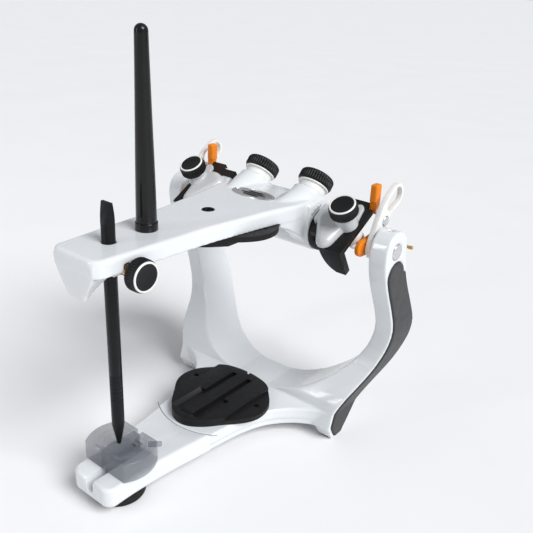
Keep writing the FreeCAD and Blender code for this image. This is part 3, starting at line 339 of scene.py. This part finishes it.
def add_piece(name, vertices, faces, slot, body, matrix=None):
    """A smooth piece made from corners in millimetres, placed by matrix, that rides on a body."""
    mesh = bpy.data.meshes.new(name)
    mesh.from_pydata([Vector(v) * MM for v in vertices], [], faces)
    mesh.validate()
    if matrix:
        mesh.transform(matrix)
    shell = bmesh.new()
    shell.from_mesh(mesh)
    bmesh.ops.recalc_face_normals(shell, faces=shell.faces)
    shell.to_mesh(mesh)
    shell.free()
    for polygon in mesh.polygons:
        polygon.use_smooth = True
    mesh.materials.append(MATERIALS[slot])
    obj = bpy.data.objects.new(name, mesh)
    bpy.context.scene.collection.objects.link(obj)
    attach(obj, body)
    crease = obj.modifiers.new("crease", "EDGE_SPLIT")
    crease.split_angle = math.radians(CREASE_ANGLE)
    return obj


def lathe(profile, segments, closed=False, radius_at=None):
    """Turn (radius, height) rows about Z. radius_at(row, radius, angle) may vary a row's radius."""
    vertices, rows, faces = [], [], []
    for row, (radius, height) in enumerate(profile):
        if radius == 0:
            rows.append([len(vertices)] * segments)
            vertices.append((0, 0, height))
            continue
        rows.append(list(range(len(vertices), len(vertices) + segments)))
        for i in range(segments):
            angle = 2 * math.pi * i / segments
            r = radius_at(row, radius, angle) if radius_at else radius
            vertices.append((r * math.cos(angle), r * math.sin(angle), height))
    pairs = list(zip(rows, rows[1:]))
    if closed:
        pairs.append((rows[-1], rows[0]))
    for low, high in pairs:
        for i in range(segments):
            j = (i + 1) % segments
            corners = [low[i], low[j], high[j], high[i]]
            faces.append([c for k, c in enumerate(corners) if c != corners[k - 1]])
    return vertices, faces


def joint_matrix(name):
    """A frame at a joint whose Z is the joint's axis."""
    joint = next(j for j in frame["joints"] if j["name"] == name)
    turn = Vector(joint["axis"]).to_track_quat("Z", "Y").to_matrix().to_4x4()
    return Matrix.Translation(joint["pos_m"]) @ turn


def local_reach(node, matrix):
    """Lowest and highest height of a CAD node along the Z of a frame, in millimetres."""
    inverse = matrix.inverted()
    heights = [(inverse @ v.co).z / MM for v in frame["nodes"][node].data.vertices]
    return min(heights), max(heights)


# ---------------------------------------------------------------- hand knobs
SMALL_KNOB_HEIGHT = 7.2
SMALL_KNOB_FLUTES = (6, 9, 40, 0.5)        # first row, last row, number and depth
REAR_KNOB_HEIGHT = 6.9
REAR_KNOB_FLUTES = (4, 7, 44, 0.55)
CAP_SEGMENTS = 6                           # steps round the cap for each flute


def fluted_cap(profile, first_row, last_row, flutes, depth):
    """A turned cap with rounded flutes cut into the rows from first_row to last_row."""
    def radius_at(row, radius, angle):
        if not first_row <= row <= last_row:
            return radius
        fade = 1.0 if first_row < row < last_row else 0.45
        return radius - depth * fade * abs(math.sin(flutes * angle / 2)) ** 0.6
    return lathe(profile, CAP_SEGMENTS * flutes, radius_at=radius_at)


def small_knob(name, joint, cap_node, ring_node, body):
    """A fluted cap with a dished black face inside a white ring."""
    matrix = joint_matrix(joint)
    low, high = local_reach(cap_node, matrix)
    base = high - SMALL_KNOB_HEIGHT
    cap = [(0, low), (2.0, low), (2.0, base), (6.7, base), (7.1, base + 0.2), (7.45, base + 0.6),
           (7.9, base + 1.0), (7.9, base + 2.4), (7.9, base + 3.8), (7.9, base + 5.2),
           (7.55, base + 5.9), (7.4, base + 6.5), (7.0, base + 6.4), (6.3, base + 6.4),
           (6.1, base + 6.9), (5.75, base + 7.0), (4.6, base + 6.6), (3.0, base + 6.3), (0, base + 6.2)]
    vertices, faces = fluted_cap(cap, *SMALL_KNOB_FLUTES)
    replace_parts(add_piece(name + "_cap", vertices, faces, "black_plastic", body, matrix), cap_node)
    ring = [(6.3, base + 6.3), (6.3, base + 7.0), (6.45, base + 7.15), (6.7, base + 7.2),
            (7.0, base + 7.1), (7.2, base + 6.9), (7.25, base + 6.4), (7.2, base + 6.3)]
    vertices, faces = lathe(ring, 96, closed=True)
    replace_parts(add_piece(name + "_ring", vertices, faces, "white_plastic", body, matrix), ring_node)


def rear_knob(name, joint, cap_node, body):
    """The taller clamp knob with straight flutes and a shallow recess on top."""
    matrix = joint_matrix(joint)
    top = local_reach(cap_node, matrix)[1]
    base = top - REAR_KNOB_HEIGHT
    cap = [(0, base + 0.05), (9.2, base + 0.05), (9.7, base + 0.3), (10.0, base + 0.8),
           (10.3, base + 1.2), (10.3, base + 2.6), (10.3, base + 4.0), (10.3, base + 5.4),
           (9.95, base + 6.0), (9.5, base + 6.5), (8.8, top - 0.1), (8.0, top), (7.4, top - 0.15),
           (7.1, top - 0.6), (4.0, top - 0.75), (0, top - 0.8)]
    vertices, faces = fluted_cap(cap, *REAR_KNOB_FLUTES)
    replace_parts(add_piece(name + "_cap", vertices, faces, "black_plastic", body, matrix), cap_node)


small_knob("pin_lock", "pin_lock_turn", "pin_knob", "pin_knob_ring", "pin_lock")
for word in SIDES:
    small_knob("box_" + word, "box_knob_turn_" + word, "box_knob_" + word, "box_knob_ring_" + word,
               "box_knob_" + word)
    rear_knob("rear_" + word, "rear_knob_turn_" + word, "rear_knob_cap_" + word, "rear_knob_" + word)


# ---------------------------------------------------------------- small fittings
BADGE_BARS = ((5.5, 2.6), (8.5, 0), (5.5, -2.6))       # (half length, place across) in mm
BADGE_BAR_HALF = 0.7
BORE_AHEAD = 60.5          # accessory bore, ahead of the condylar axis, in mm
SCALE_MARKS = 10
SCALE_START, SCALE_STEP = 95, 4            # degrees
SCALE_INNER, SCALE_SHORT, SCALE_LONG = 13.7, 14.7, 15.4
SCALE_HALF, SCALE_LIFT = 0.16, 0.08
SEAM_R, SEAM_HALF, SEAM_LIFT = 39.2, 0.14, 0.03
SEAM_AHEAD = 45.8          # middle of the seam's arc, ahead of the condylar axis, in mm
SEAM_STEPS, SEAM_STEP = 19, 1.98           # steps to each side of the front, and degrees in each


def oval(profile, half_x, half_y, segments=96):
    """Nested ovals: profile is (share of the half axes, height) rows."""
    vertices, faces = lathe(profile, segments)
    return [(x * half_x, y * half_y, z) for x, y, z in vertices], faces


def badge():
    """A plain oval plate with a raised rim and three blank bars."""
    low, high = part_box("badge_plate")
    centre = Matrix.Translation(((low.x + high.x) / 2, (low.y + high.y) / 2, low.z))
    half_x, half_y = (high.x - low.x) / 2 / MM, (high.y - low.y) / 2 / MM
    plate = [(0, 0), (1, 0), (1, 0.45), (0.98, 0.7), (0.95, 0.8), (0.92, 0.75), (0.90, 0.45), (0, 0.45)]
    vertices, faces = oval(plate, half_x, half_y)
    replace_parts(add_piece("badge", vertices, faces, "steel", "upper", centre), "badge_plate")
    for i, (length, y) in enumerate(BADGE_BARS):
        bar = [(0, 0.4), (1, 0.4), (1, 0.6), (0.92, 0.7), (0, 0.7)]
        vertices, faces = oval(bar, length, BADGE_BAR_HALF, 32)
        vertices = [(x, v + y, z) for x, v, z in vertices]
        add_piece("badge_bar_%d" % i, vertices, faces, "black_aluminium", "upper", centre)


def raised_bars(name, bars, slot, body, matrix=None):
    """Thin bars on a surface, each given as four corners in order round it and its lift, in mm."""
    vertices, faces = [], []
    for corners, lift in bars:
        first = len(vertices)
        vertices += [c - lift * 0.5 for c in corners] + [c + lift for c in corners]
        low, high = range(first, first + 4), range(first + 4, first + 8)
        faces += [tuple(low), tuple(high)]
        faces += [(low[i], low[(i + 1) % 4], high[(i + 1) % 4], high[i]) for i in range(4)]
    add_piece(name, vertices, faces, slot, body, matrix)


def hinge_scale():
    """The short marks round the hinge on each end face of the arm, every third one longer."""
    rings = frame["nodes"]["barrel_rings"].data.vertices
    end_x = min(v.co.x for v in rings if v.co.x > 0) / MM
    for word, side in SIDES.items():
        bars = []
        for i in range(SCALE_MARKS):
            angle = math.radians(SCALE_START + SCALE_STEP * i)
            out = Vector((0, math.cos(angle), math.sin(angle)))
            across = Vector((0, -math.sin(angle), math.cos(angle))) * SCALE_HALF
            top = SCALE_LONG if i % 3 == 0 else SCALE_SHORT
            centre = Vector((side * end_x, 0, 0))
            corners = [centre + out * SCALE_INNER - across, centre + out * top - across,
                       centre + out * top + across, centre + out * SCALE_INNER + across]
            bars.append((corners, Vector((side * SCALE_LIFT, 0, 0))))
        raised_bars("hinge_scale_" + word, bars, "black_aluminium", "upper", Matrix.Translation(AXIS))


def beam_seam():
    """The fine dark line where the front beam meets the frame, along its arc."""
    centre = Vector((0, AXIS.y / MM - SEAM_AHEAD, DECK_TOP))
    lift = Vector((0, 0, SEAM_LIFT))
    bars = []
    for i in range(-SEAM_STEPS, SEAM_STEPS):
        ends = [math.radians(-90 + SEAM_STEP * (i + k)) for k in (0, 1)]
        inner, outer = ([centre + Vector((math.cos(a), math.sin(a), 0)) * r for a in ends]
                        for r in (SEAM_R - SEAM_HALF, SEAM_R + SEAM_HALF))
        bars.append(([inner[0], inner[1], outer[1], outer[0]], lift))
    raised_bars("beam_seam", bars, "black_aluminium", "base")


def bore_shade_cup():
    """A black cup in the accessory bore in the flat of the arm: painted shade for the inside of the hole."""
    top = Matrix.Translation((0, AXIS.y - BORE_AHEAD * MM, ARM_TOP))
    # black walls and a floor about 3 mm down, painted shade of the hole
    cup = [(0, -3.3), (3.4, -3.3), (3.45, -0.1), (3.3, 0.1), (3.0, 0.1), (2.8, -0.2), (2.6, -2.9),
           (0, -3.0)]
    vertices, faces = lathe(cup, 64)
    add_piece("bore_shade_cup", vertices, faces, "black_aluminium", "upper", top)


badge()
bore_shade_cup()
hinge_scale()
beam_seam()


# ---------------------------------------------------------------- floor and light
FLOOR_HALF = 14.0
WORLD_STRENGTH = 0.4


def make_stage():
    corners = [(x * FLOOR_HALF, y * FLOOR_HALF, 0) for x, y in ((-1, -1), (1, -1), (1, 1), (-1, 1))]
    mesh = bpy.data.meshes.new("floor")
    mesh.from_pydata(corners, [], [(0, 1, 2, 3)])
    floor = bpy.data.objects.new("floor", mesh)
    bpy.context.scene.collection.objects.link(floor)
    m = Recipe("floor", (0.86, 0.86, 0.87), 0.6)
    m.tint(m.remap(m.noise(8, 3), 0, 1), (0.86, 0.86, 0.87), (0.84, 0.84, 0.85))
    floor.data.materials.append(m.material)


def area_light(name, place, size, power, aim):
    light = bpy.data.lights.new(name, "AREA")
    light.shape = "RECTANGLE"
    light.size, light.size_y = size
    light.energy = power
    lamp = bpy.data.objects.new(name, light)
    lamp.location = place
    lamp.rotation_euler = (Vector(aim) - Vector(place)).to_track_quat("-Z", "Y").to_euler()
    bpy.context.scene.collection.objects.link(lamp)


def sun(name, toward, power, spread):
    """Parallel light that comes from the given direction, softened by its spread in degrees."""
    light = bpy.data.lights.new(name, "SUN")
    light.energy = power
    light.angle = math.radians(spread)
    lamp = bpy.data.objects.new(name, light)
    lamp.rotation_euler = Vector(toward).to_track_quat("Z", "Y").to_euler()
    bpy.context.scene.collection.objects.link(lamp)


def make_light():
    """Soft daylight: a broad high key from the right and a narrow window in front."""
    world = bpy.data.worlds.new("studio")
    world.use_nodes = True
    background = world.node_tree.nodes["Background"]
    background.inputs["Color"].default_value = (0.93, 0.96, 1.0, 1)
    background.inputs["Strength"].default_value = WORLD_STRENGTH
    bpy.context.scene.world = world
    bpy.context.scene.view_settings.view_transform = "Standard"
    sun("key", (0.74, -0.04, 0.70), 3.1, 34)
    area_light("window", (-0.35, -0.75, 0.45), (0.06, 0.5), 1, aim=(0, 0, 0.09))


make_stage()
make_light()
